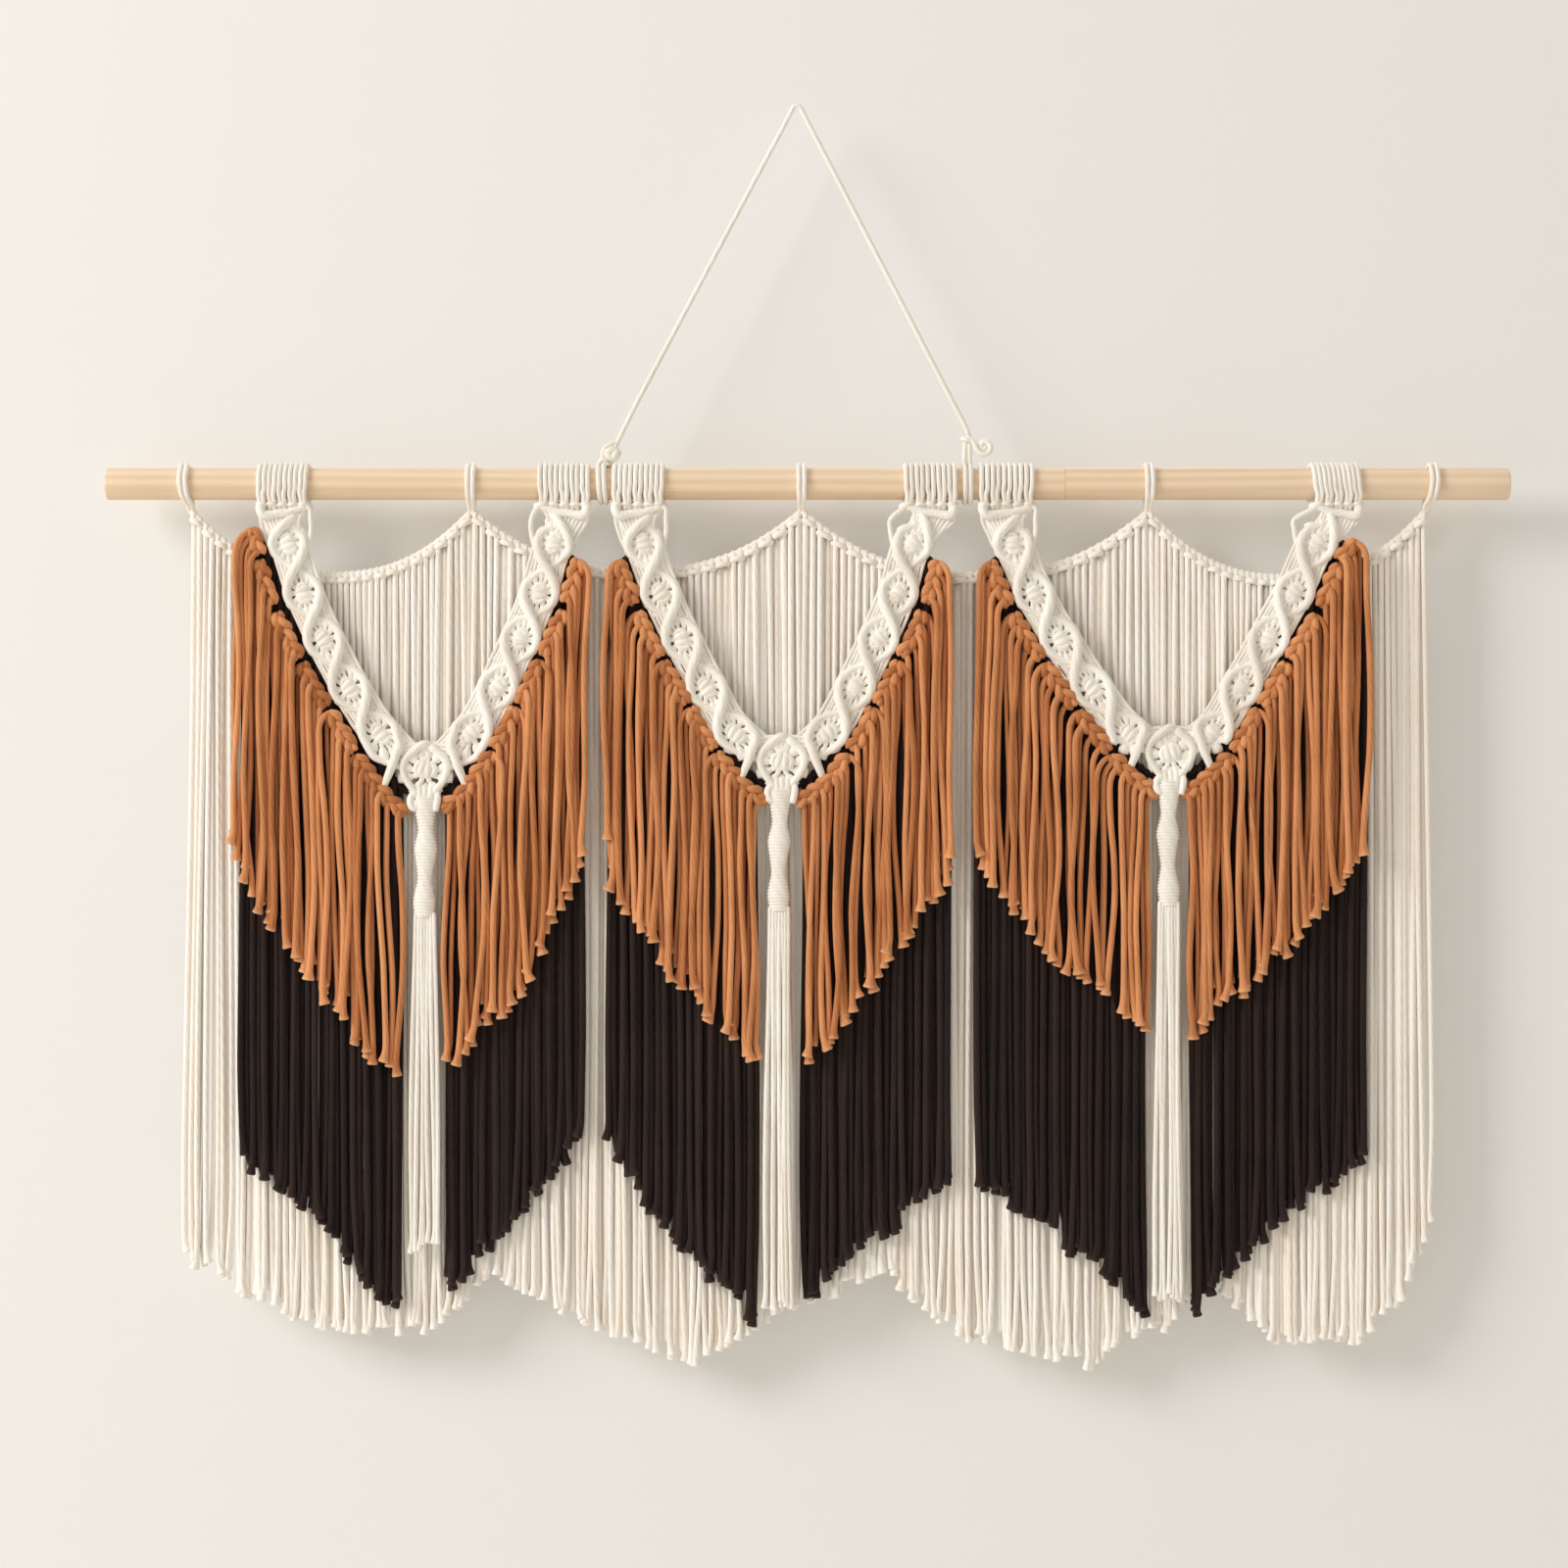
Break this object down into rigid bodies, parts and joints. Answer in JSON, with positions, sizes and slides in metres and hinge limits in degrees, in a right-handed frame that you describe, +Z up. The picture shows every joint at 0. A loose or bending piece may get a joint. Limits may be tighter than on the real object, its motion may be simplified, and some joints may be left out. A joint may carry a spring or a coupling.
{
  "type": "macrame wall hanging on wooden dowel",
  "caption": "Wide macrame wall hanging on a wooden dowel: knotted ivory V bands over rust, dark and ivory cord fringes, hung by one cord from a nail.",
  "frame": {"origin": "the middle of the hanger cord's bend, where it lies on its nail", "axes": "+X to the viewer's right along the dowel, +Y towards the wall, +Z up"},
  "size_m": [1.1, 0.0344, 0.9905],
  "materials": {
    "rod_wood": "sanded pale softwood, unvarnished",
    "ivory_cord": "soft twisted cotton cord, natural ivory",
    "rust_cord": "soft twisted cotton cord, dyed rust",
    "dark_cord": "soft twisted cotton cord, dyed dark brown"
  },
  "bodies": {
    "root": {"back_swag_1": "ivory_cord", "back_swag_2": "ivory_cord", "back_swag_3": "ivory_cord", "back_swag_4": "ivory_cord", "band_1": "ivory_cord", "band_2": "ivory_cord", "band_3": "ivory_cord", "dark_fringe_1_left": "dark_cord", "dark_fringe_1_right": "dark_cord", "dark_fringe_2_left": "dark_cord", "dark_fringe_2_right": "dark_cord", "dark_fringe_3_left": "dark_cord", "dark_fringe_3_right": "dark_cord", "dowel": "rod_wood", "hanger_cord": "ivory_cord", "hanger_hitch_left": "ivory_cord", "hanger_hitch_right": "ivory_cord", "rust_fringe_1_left": "rust_cord", "rust_fringe_1_right": "rust_cord", "rust_fringe_2_left": "rust_cord", "rust_fringe_2_right": "rust_cord", "rust_fringe_3_left": "rust_cord", "rust_fringe_3_right": "rust_cord", "tassel_1": "ivory_cord", "tassel_2": "ivory_cord", "tassel_3": "ivory_cord", "tie_loop_1": "ivory_cord", "tie_loop_2": "ivory_cord", "tie_loop_3": "ivory_cord", "tie_loop_4": "ivory_cord", "tie_loop_5": "ivory_cord"}
  },
  "joints": []
}
